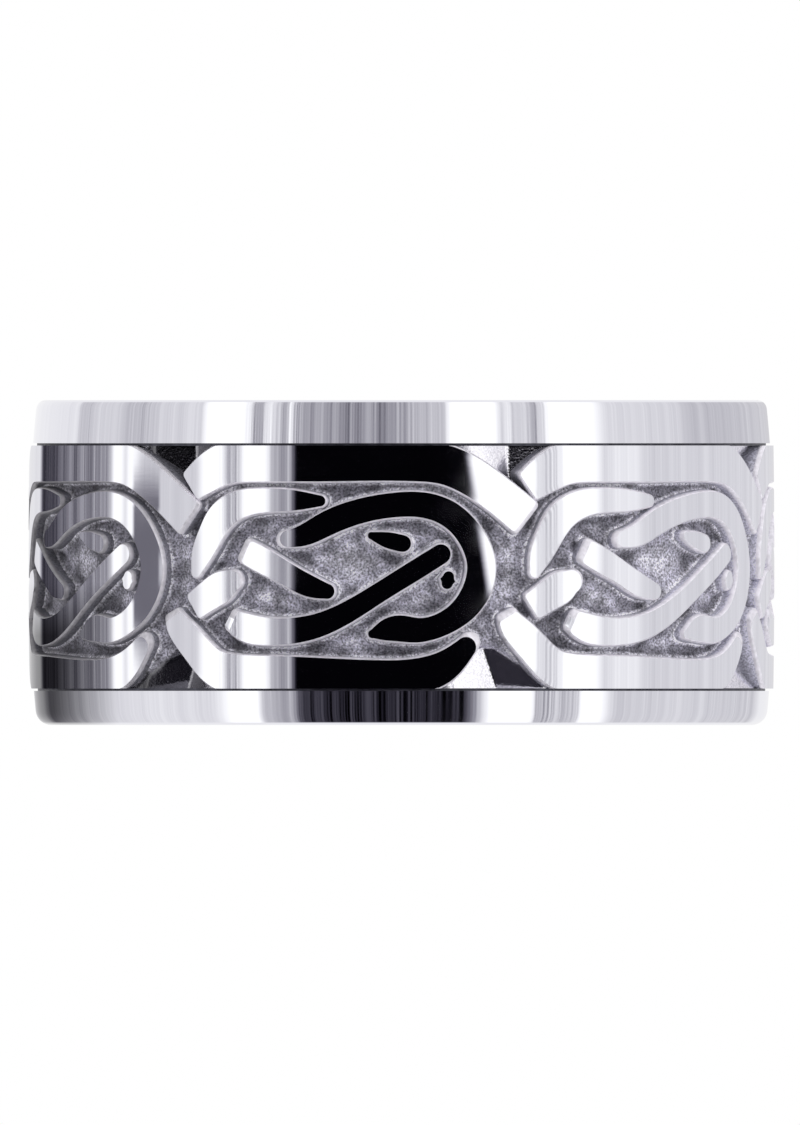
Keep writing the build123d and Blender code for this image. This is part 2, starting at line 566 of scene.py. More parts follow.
def batten(stations):
    """A finely divided natural cubic spline through the stations, with the distance along it."""
    pegs = np.array(stations)
    gaps = np.linalg.norm(np.diff(pegs[:, :2], axis=0), axis=1)
    at = np.concatenate([[0], np.cumsum(gaps)])
    count = len(pegs)
    system, wanted = np.eye(count), np.zeros_like(pegs)
    for row in range(1, count - 1):
        before, after = gaps[row - 1], gaps[row]
        system[row, row - 1:row + 2] = before, 2 * (before + after), after
        wanted[row] = 6 * ((pegs[row + 1] - pegs[row]) / after - (pegs[row] - pegs[row - 1]) / before)
    bend = np.linalg.solve(system, wanted)
    fine = []
    for row in range(count - 1):
        gap = gaps[row]
        share = np.linspace(0, 1, batten_steps, endpoint=row == count - 2)[:, None]
        straight = pegs[row] * (1 - share) + pegs[row + 1] * share
        curl = bend[row] * ((1 - share) ** 3 - (1 - share)) + bend[row + 1] * (share**3 - share)
        fine.append(straight + curl * gap**2 / 6)
    line = np.concatenate(fine)
    run = np.concatenate([[0], np.cumsum(np.linalg.norm(np.diff(line[:, :2], axis=0), axis=1))])
    return run, line


# %% [markdown]
# The two sides lie half a width to the left and right of the middle line. A round end is closed by
# rows that follow a circle, and a square end by rows that round its two corners.

# %% The two sides of a strand
row_step = 0.12
corner_radius = 0.12
end_angles = (15, 32, 48, 62, 74, 84)


def turned_left(ways):
    """Flat directions turned a quarter to the left."""
    return np.stack([-ways[:, 1], ways[:, 0]], axis=1)


def end_rows(kind, width):
    """Rows that finish an end: how far out from its last full row, and how wide, in millimetres."""
    radius = width / 2 if kind == "round" else corner_radius
    turns = [radians(angle) for angle in end_angles]
    return [(radius * sin(turn), width - 2 * radius * (1 - cos(turn))) for turn in turns]


def strand_sides(strand, panel_length, cut=(0, 0)):
    """The left and right sides of a strand on the flat strip, row by row, in millimetres.

    The cut says how much shorter the strand is made at its two ends.
    """
    scale = np.array([panel_length, knot_height, knot_height])
    offset = np.array([0, knot_low, 0])
    run, line = batten(np.array(strand["stations"]) * scale + offset)
    trims = [corner_radius if kind == "square" else 0 for kind in strand["ends"]]
    first, last = trims[0], run[-1] - trims[1]
    row_count = round((last - first) / row_step) + 1
    stops = np.linspace(first + cut[0], last - cut[1], row_count)
    along, up, width = (np.interp(stops, run, line[:, column]) for column in range(3))
    places = np.stack([along, up], axis=1)
    ways = np.gradient(places, axis=0)
    ways /= np.linalg.norm(ways, axis=1)[:, None]
    rows = list(zip(places, ways, width))
    start, finish = rows[0], rows[-1]
    for out, narrow in end_rows(strand["ends"][0], start[2]):
        rows.insert(0, (start[0] - start[1] * out, start[1], narrow))
    for out, narrow in end_rows(strand["ends"][1], finish[2]):
        rows.append((finish[0] + finish[1] * out, finish[1], narrow))
    places, ways, width = (np.array(column) for column in zip(*rows))
    side = turned_left(ways) * width[:, None] / 2
    return places + side, places - side


def within_rails(points):
    """Points kept clear of both rails by the width of the scribed line."""
    ups = np.clip(points[:, 1], knot_low + scribe_width, knot_high - scribe_width)
    return np.stack([points[:, 0], ups], axis=1)


def moved_out(sides, distance):
    """Both sides moved outwards by a distance, square to the outline, but not onto a rail.

    Where the two sides would cross, both are put in the middle.
    """
    left, right = sides
    loop = np.concatenate([left, right[::-1]])
    ways = np.roll(loop, -1, axis=0) - np.roll(loop, 1, axis=0)
    ways /= np.linalg.norm(ways, axis=1)[:, None]
    moved = loop + turned_left(ways) * distance
    left, right = moved[:len(left)], moved[len(left):][::-1]
    across = np.einsum("ij,ij->i", left - right, sides[0] - sides[1])
    middle = (left + right) / 2
    crossed = across <= 0
    left[crossed], right[crossed] = middle[crossed], middle[crossed]
    return within_rails(left), within_rails(right)


# %% [markdown]
# Now the strand itself. The grid is laid out at the strand's root, below the ground. Then Extrude
# lifts it four times, as in edit mode by hand: up the wall, twice round the rim and on to the top,
# and each time its outline is drawn in a little. The grid carries its row and column with it through
# the extrusions, so every lifted point still knows where it belongs. A few ends were filed to a
# slanting facet, so there the top is drawn in further than the foot.

# %% A strand on the flat strip
columns = 8
# A strand's root: so far out from its flat top, and so far below it, near the channel's floor
root_out, root_depth = 0.12, relief_depth + 0.55
# Where each extrusion ends: how far out and how far down, and whether its ends have their facets
strand_steps = [
    {"out": rim_out, "down": rim_foot, "facet": 0},
    {"out": 0.050, "down": 0.08, "facet": 0},
    {"out": 0.028, "down": 0.03, "facet": 0},
    {"out": 0.0, "down": 0.0, "facet": 1},
]
# How far the top is drawn in at a strand's first and last end, where they were filed
end_facets = {
    "upper_frame": (0, 0.08),
    "lower_frame": (0.15, 0.20),
    "hook": (0.12, 0),
    "short_strand": (0.15, 0),
    "long_strand": (0.18, 0),
    "lozenge": (0, 0.12),
}


def select_only(piece):
    """Deselects everything but one piece, and makes it the active one."""
    bpy.ops.object.select_all(action="DESELECT")
    piece.select_set(True)
    bpy.context.view_layer.objects.active = piece


def read_spots(mesh):
    """Where the points of a mesh are, in metres."""
    spots = np.zeros(len(mesh.vertices) * 3)
    mesh.vertices.foreach_get("co", spots)
    return spots.reshape(-1, 3)


def new_grid(name, steps_along, steps_up):
    """A grid primitive, with how far along and up each of its points is, from 0 to 1."""
    bpy.ops.object.select_all(action="DESELECT")
    bpy.ops.mesh.primitive_grid_add(x_subdivisions=steps_along, y_subdivisions=steps_up, size=1)
    piece = bpy.context.object
    piece.name = piece.data.name = name
    return piece, read_spots(piece.data)[:, :2] + 0.5


def put_selected(piece, sides, down):
    """Moves the selected points to their places between two sides, at a depth below the crown."""
    mesh = piece.data
    spots = read_spots(mesh)
    count = len(spots)
    chosen, row, column = np.zeros(count, bool), np.zeros(count, np.int32), np.zeros(count, np.int32)
    mesh.vertices.foreach_get("select", chosen)
    mesh.attributes["row"].data.foreach_get("value", row)
    mesh.attributes["column"].data.foreach_get("value", column)
    share = (column[chosen] / columns)[:, None]
    flat = sides[0][row[chosen]] * (1 - share) + sides[1][row[chosen]] * share
    crown = knot_drop * ((flat[:, 1] - mid_height) / (knot_height / 2)) ** 2
    spots[chosen] = np.stack([flat[:, 0], down + crown, flat[:, 1]], axis=1) * mm
    mesh.vertices.foreach_set("co", spots.ravel())
    mesh.update()


def flat_strand(name, panel_length):
    """A closed strand on the flat strip, with its rim rounded and its ends filed."""
    strand, facets = knot[name], np.array(end_facets.get(name, (0, 0)))
    sides = strand_sides(strand, panel_length)
    rows = len(sides[0]) - 1
    piece, shares = new_grid(name, rows, columns)
    for label, places in (("row", shares[:, 0] * rows), ("column", shares[:, 1] * columns)):
        numbers = np.rint(places).astype(np.int32)
        piece.data.attributes.new(label, "INT", "POINT").data.foreach_set("value", numbers)
    put_selected(piece, moved_out(sides, root_out), root_depth)
    for step in strand_steps:
        bpy.ops.object.mode_set(mode="EDIT")
        bpy.ops.mesh.extrude_region_move()
        bpy.ops.object.mode_set(mode="OBJECT")
        sides = strand_sides(strand, panel_length, facets * step["facet"])
        put_selected(piece, moved_out(sides, step["out"]), step["down"])
    return piece


# %% [markdown]
# Each face of a strand takes its finish from how deep it lies: the level top is polished, the rim
# is buffed and the wall is satin. The edges between them are marked sharp, because smooth shading
# would blend the mirror into the wall.

# %% The finishes of a strand
# A face is level when its normal points this much straight out or in
level_normal = 0.99


def finish_faces(piece):
    """Gives each face of a flat strand its finish, and keeps the borders crisp."""
    give_finishes(piece)
    for face in piece.data.polygons:
        side = edge if face.center.y / mm < rim_foot + knot_drop else wall_finish
        face.material_index = polished if abs(face.normal.y) > level_normal else side
    bpy.ops.object.mode_set(mode="EDIT")
    bpy.ops.mesh.select_mode(type="FACE")
    bpy.ops.mesh.select_all(action="SELECT")
    bpy.ops.mesh.normals_make_consistent(inside=False)
    for slot in (polished, wall_finish):
        bpy.ops.mesh.select_all(action="DESELECT")
        piece.active_material_index = slot
        bpy.ops.object.material_slot_select()
        bpy.ops.mesh.region_to_loop()
        bpy.ops.mesh.mark_sharp()
        bpy.ops.mesh.select_mode(type="FACE")
    bpy.ops.mesh.select_all(action="DESELECT")
    bpy.ops.object.mode_set(mode="OBJECT")
    select_only(piece)
    bpy.ops.object.shade_smooth()


# %% [markdown]
# The strip is rolled round the finger with a Simple Deform modifier set to Bend. It turns the
# length of a piece into an angle and keeps its depth, which is just what a bending die does. The
# modifier bends a piece by one angle over its own length, so that angle is the length divided by
# the crown's radius. The bend leaves the finger axis one radius behind the strip, and the piece is
# moved forward by that much.

# %% Rolling a strip round the finger


def rolled(piece):
    """Bends a flat piece round the finger axis, with the strip's start at angle 0."""
    along = [corner.co.x for corner in piece.data.vertices]
    bend = piece.modifiers.new("roll", "SIMPLE_DEFORM")
    bend.deform_method = "BEND"
    bend.deform_axis = "Z"
    bend.angle = (max(along) - min(along)) / (crown_r * mm)
    select_only(piece)
    bpy.ops.object.modifier_apply(modifier=bend.name)
    piece.location = (0, -crown_r * mm, 0)
    bpy.ops.object.transform_apply(location=True, rotation=False, scale=False)
    return piece


def copy_turned(piece, turn):
    """A copy with a mesh of its own, turned round the finger by an angle in degrees."""
    select_only(piece)
    bpy.ops.object.duplicate(linked=False)
    copy = bpy.context.object
    copy.rotation_euler = (0, 0, radians(turn))
    bpy.ops.object.transform_apply(location=False, rotation=True, scale=False)
    return copy


def joined(pieces, name):
    """Several pieces made into one."""
    bpy.ops.object.select_all(action="DESELECT")
    for piece in pieces:
        piece.select_set(True)
    bpy.context.view_layer.objects.active = pieces[0]
    bpy.ops.object.join()
    whole = bpy.context.object
    whole.name = whole.data.name = name
    return whole


# %% [markdown]
# Each strand is made once for the long panels and once for the short ones, copied to its panels,
# and the seven copies are joined into one piece. The outlines are kept too: the ground needs them.

# %% All the strands
knot_pieces = []
outlines = []
for name, strand in knot.items():
    masters, sides_of = {}, {}
    for angle in (long_panel_angle, short_panel_angle):
        panel_length = radians(angle) * crown_r
        master = flat_strand(name, panel_length)
        finish_faces(master)
        masters[angle] = rolled(master)
        sides_of[angle] = moved_out(strand_sides(strand, panel_length), rim_out)
    copies = []
    for start, angle in panels:
        copies.append(copy_turned(masters[angle], start))
        outlines.append(np.array(sides_of[angle]) + np.array([radians(start) * crown_r, 0]))
    for master in masters.values():
        bpy.data.objects.remove(master)
    knot_pieces.append(joined(copies, name))
outline_points = np.concatenate([sides.reshape(-1, 2) for sides in outlines])
print(len(knot_pieces), "kinds of strand,", sum(len(piece.data.polygons) for piece in knot_pieces), "faces")

# %% [markdown]
# The plain band carries the knot: bore, flat faces, two rails and the channel between them. On the
# lathe it is a section turned round the finger axis, and it is made the same way here. A plane
# primitive is added and emptied, and the section's outline is drawn in its place, point by point,
# with its corners rounded by arcs. Spin then carries it round the finger.

# %% The section of the band
spin_steps = 360
arc_steps = 8
rail_points = 7
channel_floor = 0.6


def rounded(corner, before, after, radius):
    """Points of an arc that rounds a corner between two neighbouring points of an outline."""
    corner, before, after = (np.array(point, float) for point in (corner, before, after))
    to_before, to_after = before - corner, after - corner
    to_before /= np.linalg.norm(to_before)
    to_after /= np.linalg.norm(to_after)
    half = np.arccos(np.dot(to_before, to_after)) / 2
    reach = radius / np.tan(half)
    bisector = (to_before + to_after) / np.linalg.norm(to_before + to_after)
    centre = corner + bisector * radius / np.sin(half)
    first, last = corner + to_before * reach - centre, corner + to_after * reach - centre
    turn = np.arccos(np.clip(np.dot(first, last) / radius**2, -1, 1))
    arc = []
    for share in np.linspace(0, 1, arc_steps + 1):
        spoke = (sin((1 - share) * turn) * first + sin(share * turn) * last) / sin(turn)
        arc.append(tuple(spoke + centre))
    return arc


def rail_line(low, high):
    """Points up the crowned outside of a rail."""
    return [(outside_r(height), height) for height in np.linspace(low, high, rail_points)]


def band_section():
    """The outline of the band's section, anticlockwise, as radius and height in millimetres."""
    floor_r = ground_r - channel_floor
    scribe_low = outside_r(knot_low) - scribe_depth
    scribe_high = outside_r(knot_high) - scribe_depth
    low_corner, high_corner = (outside_r(0), 0), (outside_r(band_width), band_width)
    low_bore, high_bore = (bore_r, 0), (bore_r, band_width)
    low_rail = rail_line(lower_edge_radius, knot_low)
    high_rail = rail_line(knot_high, band_width - upper_edge_radius)
    points = rounded(low_bore, high_bore, low_corner, bore_edge_radius)
    points += rounded(low_corner, low_bore, low_rail[1], lower_edge_radius)
    points += low_rail[1:]
    low, high = knot_low + ledge_width, knot_high - ledge_width
    points += [(scribe_low, knot_low), (scribe_low, low), (floor_r, low)]
    points += [(floor_r, high), (scribe_high, high), (scribe_high, knot_high)]
    points += high_rail[:-1]
    points += rounded(high_corner, high_rail[-2], high_bore, upper_edge_radius)
    points += rounded(high_bore, high_corner, low_bore, bore_edge_radius)
    return points


def spun_band(section):
    """The band, spun from its section of radius and height in millimetres."""
    bpy.ops.object.select_all(action="DESELECT")
    bpy.ops.mesh.primitive_plane_add(size=1)
    piece = bpy.context.object
    piece.name = piece.data.name = "band"
    mesh = piece.data
    mesh.clear_geometry()
    mesh.from_pydata(
        [(radius * mm, 0, height * mm) for radius, height in section],
        [(at, (at + 1) % len(section)) for at in range(len(section))],
        [],
    )
    bpy.ops.object.mode_set(mode="EDIT")
    bpy.ops.mesh.select_mode(type="VERT")
    bpy.ops.mesh.select_all(action="SELECT")
    bpy.ops.mesh.spin(
        steps=spin_steps, angle=2 * pi, center=(0, 0, 0), axis=(0, 0, 1), use_auto_merge=False)
    bpy.ops.mesh.select_all(action="SELECT")
    bpy.ops.mesh.remove_doubles(threshold=0.0005 * mm)
    bpy.ops.mesh.normals_make_consistent(inside=False)
    bpy.ops.mesh.select_all(action="DESELECT")
    bpy.ops.object.mode_set(mode="OBJECT")
    return piece


# %% The band
band = spun_band(band_section())
give_finishes(band)
for face in band.data.polygons:
    depth = outside_r(face.center.z / mm) - face.center.xy.length / mm
    between_rails = knot_low < face.center.z / mm < knot_high
    face.material_index = line_finish if between_rails and depth < relief_depth else polished
select_only(band)
bpy.ops.object.shade_smooth_by_angle(angle=radians(25))
print("the band has", len(band.data.polygons), "faces")

# %% [markdown]
# The ground lies in the channel as a thin sleeve. Its outside is a fine grid of 0.08 mm, so that
# the stipple is real metal and not only paint. Each of its points is moved in or out: up beside a
# strand, where the casting has a small fillet, and a little either way for the stipple. How crowded
# a place is comes from the share of its surroundings that strands and rails take up.

# %% How near and how crowded
ground_columns = 900
ground_rows = 96
# How far round a place its surroundings go, in millimetres, and how many lines fill a strand
crowd_reach, fill_lines = 0.45, 25


def nearest_strand(points):
    """How far each point of the unrolled ground is from the nearest outline, in millimetres."""
    round_trip = 2 * pi * crown_r
    tree = KDTree(3 * len(outline_points))
    at = 0
    for shift in (-round_trip, 0, round_trip):
        for along, up in outline_points:
            tree.insert((along + shift, up, 0), at)
            at += 1
    tree.balance()
    return np.array([tree.find((along, up, 0))[2] for along, up in points])


def smoothed(grid, reach, step, axis, **padding):
    """A grid blurred along one axis with a bell curve, its ends continued as the padding says."""
    half = round(3 * reach / step)
    bell = np.exp(-((np.arange(-half, half + 1) * step / reach) ** 2) / 2)
    margins = [(half, half) if at == axis else (0, 0) for at in range(2)]
    padded = np.pad(grid, margins, **padding)
    return np.apply_along_axis(lambda line: np.convolve(line, bell / bell.sum(), mode="valid"), axis, padded)


def how_crowded():
    """The share of each ground point's surroundings that strands and rails take up."""
    along_step, up_step = 2 * pi * crown_r / ground_columns, knot_height / ground_rows
    taken = np.zeros((ground_columns, ground_rows + 1))
    for left, right in outlines:
        for share in np.linspace(0, 1, fill_lines):
            spots = left * (1 - share) + right * share
            fine = np.concatenate([spots[:-1] * (1 - part) + spots[1:] * part for part in (0, 0.5)])
            columns_hit = np.rint(fine[:, 0] / along_step).astype(int) % ground_columns
            rows_hit = np.rint((fine[:, 1] - knot_low) / up_step).astype(int)
            taken[columns_hit, np.clip(rows_hit, 0, ground_rows)] = 1
    around = smoothed(taken, crowd_reach, along_step, 0, mode="wrap")
    around = smoothed(around, crowd_reach, up_step, 1, mode="constant", constant_values=1)
    return np.concatenate([around, around[:1]])


# %% [markdown]
# The pockets by the rails are filed to a shallow valley: a fold line runs from the rail to the
# pocket's tip, and a facet rises from it on each side. The file was held by hand, so the facets
# are steeper in one panel than in the next, and each mirrors another part of the room.

# %% The filed pockets
# Each pocket: where it meets its rail and where its tip is, as shares of the height between the
# rails, then where its fold line is and how far it reaches from it, as shares of the panel's length
pockets = [
    {"rail": 1.0, "tip": 0.76, "fold": 0.983, "reach": 0.13},
    {"rail": 0.0, "tip": 0.20, "fold": 0.947, "reach": 0.16},
]
# How far a pocket still reaches at its tip, and how softly its sides and its tip end, as shares too
tip_reach, side_soft, tip_soft = 0.03, 0.02, 0.15
# How each panel's two pockets were filed: the slope of their facets, and how far each fold leans
# along the panel from the rail to the tip
filings = [
    {"slope": 0.50, "leans": (0.0, 0.053)},
    {"slope": 0.30, "leans": (0.0, -0.050)},
    {"slope": 0.40, "leans": (0.0, 0.030)},
    {"slope": 0.50, "leans": (0.01, -0.020)},
    {"slope": 0.40, "leans": (-0.02, 0.045)},
    {"slope": 0.30, "leans": (0.01, -0.040)},
    {"slope": 0.40, "leans": (0.0, 0.025)},
]
# A facet comes up to the ground at its width from the fold, and its rise is cut off at its top
facet_width, facet_top = 1.0, 0.16


def filed_pockets(angles, heights):
    """How far each point belongs to a filed pocket, from 0 to 1, and how high its facet is there."""
    share, lift = np.zeros(len(angles)), np.zeros(len(angles))
    ups = (heights - knot_low) / knot_height
    for (start, angle), filing in zip(panels, filings):
        for turn in (-360, 0, 360):
            alongs = (angles - start + turn) / angle
            for pocket, lean in zip(pockets, filing["leans"]):
                inwards = (ups - pocket["rail"]) / (pocket["tip"] - pocket["rail"])
                out = np.abs(alongs - pocket["fold"] - lean * inwards)
                reach = pocket["reach"] * (1 - inwards) + tip_reach
                here = np.clip((1 - inwards) / tip_soft, 0, 1) * np.clip((reach - out) / side_soft, 0, 1)
                rise = filing["slope"] * (out * radians(angle) * crown_r - facet_width)
                rise = np.clip(rise, None, facet_top)
                lift = np.where(here > share, rise, lift)
                share = np.maximum(share, here)
    return share, lift


# %% The ground on the flat strip
# How far the ground goes past the edge of each rail, and the fillet beside a strand
sleeve_overlap = 0.03
fillet_height, fillet_reach = 0.16, 0.13


def flat_ground():
    """The outside of the ground on the flat strip, with its fillets and filed pockets."""
    piece, shares = new_grid("ground", ground_columns, ground_rows)
    along = shares[:, 0] * 2 * pi * crown_r
    up = knot_low - sleeve_overlap + shares[:, 1] * (knot_height + 2 * sleeve_overlap)
    to_rail = np.clip(np.minimum(up - knot_low, knot_high - up), 0, None)
    distance = np.minimum(nearest_strand(np.stack([along, up], axis=1)), to_rail)
    filed, facet = filed_pockets(np.degrees(along / crown_r), up)
    column, row = np.rint(shares * (ground_columns, ground_rows)).astype(int).T
    crowded = how_crowded()[column, row]
    fillet = fillet_height * np.exp(-((distance / fillet_reach) ** 2))
    lift = fillet * (1 - filed) + facet * filed
    spots = np.stack([along, relief_depth - lift, up], axis=1) * mm
    mesh = piece.data
    mesh.vertices.foreach_set("co", spots.ravel())
    for name, values in (("distance", distance), ("crowding", crowded), ("filed", filed)):
        mesh.attributes.new(name, "FLOAT", "POINT").data.foreach_set("value", values.astype(np.float32))
    return piece


# %% [markdown]
# Rolled up, the sheet still has a seam and no thickness. Its seam is merged, its two borders are
# extruded inwards, and a bridge between them makes the inner side, which no one sees.

# %% A closed sleeve
sleeve_depth = 0.7


def closed_sleeve(piece):
    """Joins the seam of a rolled sheet, and gives it an inner side."""
    select_only(piece)
    bpy.ops.object.mode_set(mode="EDIT")
    bpy.ops.mesh.select_mode(type="VERT")
    bpy.ops.mesh.select_all(action="SELECT")
    bpy.ops.mesh.remove_doubles(threshold=0.005 * mm)
    bpy.ops.mesh.select_mode(type="EDGE")
    bpy.ops.mesh.select_all(action="DESELECT")
    bpy.ops.mesh.select_non_manifold()
    bpy.ops.mesh.extrude_edges_move()
    bpy.ops.object.mode_set(mode="OBJECT")
    for corner in piece.data.vertices:
        if corner.select:
            corner.co.xy = corner.co.xy.normalized() * (ground_r - sleeve_depth) * mm
    bpy.ops.object.mode_set(mode="EDIT")
    bpy.ops.mesh.bridge_edge_loops()
    bpy.ops.mesh.select_all(action="SELECT")
    bpy.ops.mesh.normals_make_consistent(inside=False)
    bpy.ops.mesh.select_all(action="DESELECT")
    bpy.ops.object.mode_set(mode="OBJECT")


# %% [markdown]
# The stipple was punched, so it is real relief here too: a Displace modifier moves the outer
# points by a clouds texture. A file has taken most of it off the facets.

# %% The ground
stipple_size, stipple_height = 0.13, 0.05
filed_stipple = 0.1

ground = rolled(flat_ground())
closed_sleeve(ground)
give_finishes(ground)
for face in ground.data.polygons:
    face.material_index = ground_finish
stipple = bpy.data.textures.new("stipple", "CLOUDS")
stipple.noise_scale = stipple_size * mm
stipple.noise_depth = 1
punch = ground.modifiers.new("stipple", "DISPLACE")
punch.texture = stipple
punch.texture_coords = "LOCAL"
punch.strength = stipple_height * mm
punch.mid_level = 0.5
outer_group = ground.vertex_groups.new(name="outer")
outer_r = ground_r - sleeve_depth / 2
for corner, filed in zip(ground.data.vertices, ground.data.attributes["filed"].data):
    if corner.co.xy.length > outer_r * mm:
        outer_group.add([corner.index], 1.0 if filed.value < 0.5 else filed_stipple, "REPLACE")
punch.vertex_group = "outer"
select_only(ground)
bpy.ops.object.modifier_apply(modifier=punch.name)
bpy.ops.object.shade_smooth()
print("the ground has", len(ground.data.polygons), "faces")

# %% The frame takes the new pieces
for piece in [band, ground, *knot_pieces]:
    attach(piece, "root")
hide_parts("ring_band")

# %% [markdown]
# Studio. The ring stands in a white tent, as jewellery is photographed, with a black card round
# the lens. A mirror has no look of its own: what shows on the ring is the tent, so the tent is
# drawn with care. Its brightness goes evenly from each row below to the next, so two rows close
# together are the side of a stripe. There are three levels: the middle one shows in the knot, and
# the others in the rails, whose crown tilts them up and down. The card stands a little askew, so
# its right side leans.

# %% The light tent
# Each row: azimuth in degrees from the camera's side, brightness, and how strong the fine streaks are
tent_middle = [
    (-180, 0.85, 0.00), (-152, 0.80, 0.05), (-149, 0.05, 0.06), (-136, 0.07, 0.08), (-133, 0.17, 0.06),
    (-103, 0.34, 0.20), (-101, 1.20, 0.00), (-97.5, 1.20, 0.00), (-96, 0.75, 0.05), (-94, 1.15, 0.00),
    (-91, 1.10, 0.00), (-88, 0.70, 0.04), (-67, 0.68, 0.04), (-64, 1.20, 0.00), (-58, 1.20, 0.10),
    (-57, 0.60, 0.35), (-52, 0.60, 0.35), (-50, 1.25, 0.00), (-43, 1.20, 0.10), (-41, 0.50, 0.15),
    (-31, 0.34, 0.15), (-20, 1.20, 0.00), (42, 1.20, 0.00), (44, 0.75, 0.25), (50, 0.75, 0.25),
    (52, 1.20, 0.00), (63, 1.15, 0.00), (66, 0.76, 0.08), (71, 0.92, 0.05), (78, 0.92, 0.05),
    (82, 0.72, 0.05), (120, 0.74, 0.06),
]
tent_high = [
    (-180, 0.95, 0.00), (-125, 0.85, 0.04), (-122, 0.72, 0.10), (-118, 0.48, 0.15), (-114, 0.74, 0.08),
    (-100, 0.70, 0.06), (-97, 0.55, 0.10), (-88, 0.60, 0.10), (-80, 0.72, 0.06), (-66, 0.78, 0.06),
    (-64, 1.20, 0.00), (-51, 1.20, 0.05), (-48, 0.72, 0.35), (-34, 0.70, 0.35),
    (-31, 0.35, 0.15), (-22, 0.40, 0.16), (-17, 0.32, 0.16), (-2, 0.34, 0.16), (2, 0.50, 0.16),
    (13, 0.60, 0.15), (15, 1.20, 0.05), (30, 1.20, 0.05), (32, 0.70, 0.30), (45, 0.70, 0.30),
    (47, 1.20, 0.00), (63, 1.15, 0.00), (68, 0.78, 0.05), (95, 0.74, 0.05), (104, 0.60, 0.06),
    (122, 0.58, 0.06), (160, 0.66, 0.06),
]
tent_low = [
    (-180, 0.80, 0.00), (-155, 0.65, 0.00), (-148, 0.24, 0.06), (-144, 0.26, 0.06), (-135, 0.44, 0.06),
    (-117, 0.64, 0.06), (-105, 0.73, 0.05), (-86, 0.84, 0.05), (-62, 0.78, 0.05),
    (-55, 1.20, 0.00), (-46, 1.20, 0.00), (-44, 0.50, 0.10), (-34, 0.42, 0.10), (-32, 0.03, 0.05),
    (20, 0.02, 0.04), (23, 0.30, 0.10), (28, 1.20, 0.00), (42, 1.20, 0.00), (43, 0.50, 0.30),
    (57, 0.60, 0.30), (59, 1.20, 0.00), (66, 1.15, 0.00), (71, 0.66, 0.06), (98, 0.74, 0.06),
    (122, 0.68, 0.08), (146, 0.64, 0.08), (155, 0.90, 0.00),
]
# Where the middle level gives way to the high and the low one, how far up and down the stripes
# reach, and how soft these borders are, all in degrees of facing. Past the stripes the tent is plain
tent_edge, edge_soft = 2.5, 0.5
tent_top, tent_bottom, ends_soft = 52, 58, 5
tent_ends = 0.90
# Cards in front of the tent. Their sides, and how soft these are, are in degrees of facing
cards = [
    {"left": -17.0, "right": 12.9, "lean": -3.2, "height": 4, "soft": 0.7, "brightness": 0.001},
    {"left": -46.0, "right": -40.5, "lean": 0, "height": 0.6, "soft": 0.4, "brightness": 0.16},
]
# The fine streaks: folds of two widths in the cloth, in degrees
streak_widths = (0.7, 4.0)
# The tent is a touch cool. The power that each channel of its brightness is raised to
tint_powers = {"Red": 1.0, "Green": 1.02, "Blue": 0.93}
# What matt surfaces receive: a colour, and two slopes. Each slope goes from place to place across
# the room, where -1 is straight left and 1 is straight right, and from share to share of the colour
soft_colour = (1.85, 1.84, 1.88)
soft_slopes = [((-0.5, 0.1), (0.02, 1.0)), ((0.25, 0.9), (1.0, 0.2))]

# %% [markdown]
# A direction in the room is measured by the mirror that would show it to us: the way that mirror
# faces, turned to the side by the fan and upwards by the rise. A mirror that is turned by an angle
# shows a place at twice that angle, so the fan is half of an azimuth in the tables. This puts every
# stripe on the ring just where its row says, also near the sides, where the ring curves away.

# %% Stripes, streaks and cards


def facing(tree):
    """The fan and the rise of a direction, in radians, and how far it points to the right."""
    place = add_node(tree, "ShaderNodeTexCoord").outputs["Generated"]
    look = add_node(tree, "ShaderNodeSeparateXYZ", inputs={"Vector": place}).outputs
    ahead = calculated(tree, "SUBTRACT", 1.0, look["Y"])
    fan = calculated(tree, "ARCTAN2", look["X"], ahead)
    level = add_node(tree, "ShaderNodeCombineXYZ", inputs={"X": look["X"], "Y": ahead})
    rise = calculated(tree, "ARCTAN2", look["Z"], length_of(tree, level.outputs["Vector"]))
    return fan, rise, look["X"]


def fine_streaks(tree, share):
    """Upright streaks round the tent, as likely brighter as darker."""
    layers = []
    for width in streak_widths:
        folds = add_node(tree, "ShaderNodeTexNoise", {"noise_dimensions": "1D"}, {
            "W": share, "Scale": 360 / width, "Detail": 1.0})
        layers.append(mapped(tree, folds.outputs["Fac"], (0.2, 0.8), (-0.9, 0.9)))
    return calculated(tree, "ADD", *layers)


def stripes(tree, table, share, streaks):
    """The brightness of one level of the tent: its stripes, and the fine streaks on them."""
    ramp = ramped(tree, share, [
        ((azimuth + 180) / 360, (brightness, brightness, brightness, streak))
        for azimuth, brightness, streak in table
    ])
    return calculated(tree, "MULTIPLY_ADD", streaks, ramp.outputs["Alpha"], ramp.outputs["Color"])


def border(tree, angle, at, soft, below, above):
    """Goes from one value to another at an angle, softly on both sides of it, in degrees."""
    share = add_node(tree, "ShaderNodeMapRange", {"interpolation_type": "SMOOTHSTEP"}, {
        "Value": angle, "From Min": radians(at - soft), "From Max": radians(at + soft)})
    return mixed(tree, share.outputs["Result"], below, above)


def behind_card(tree, fan, rise, tent, card):
    """The tent with a card in front of it. The lean moves the card's right side with the height."""
    leaning = calculated(tree, "SUBTRACT", fan, calculated(tree, "MULTIPLY", rise, card["lean"]))
    off_level = calculated(tree, "ABSOLUTE", rise)
    covered = product(tree, [
        border(tree, fan, card["left"], card["soft"], 0.0, 1.0),
        border(tree, leaning, card["right"], card["soft"], 1.0, 0.0),
        border(tree, off_level, card["height"], card["soft"] / 2, 1.0, 0.0),
    ])
    return mixed(tree, covered, tent, card["brightness"])


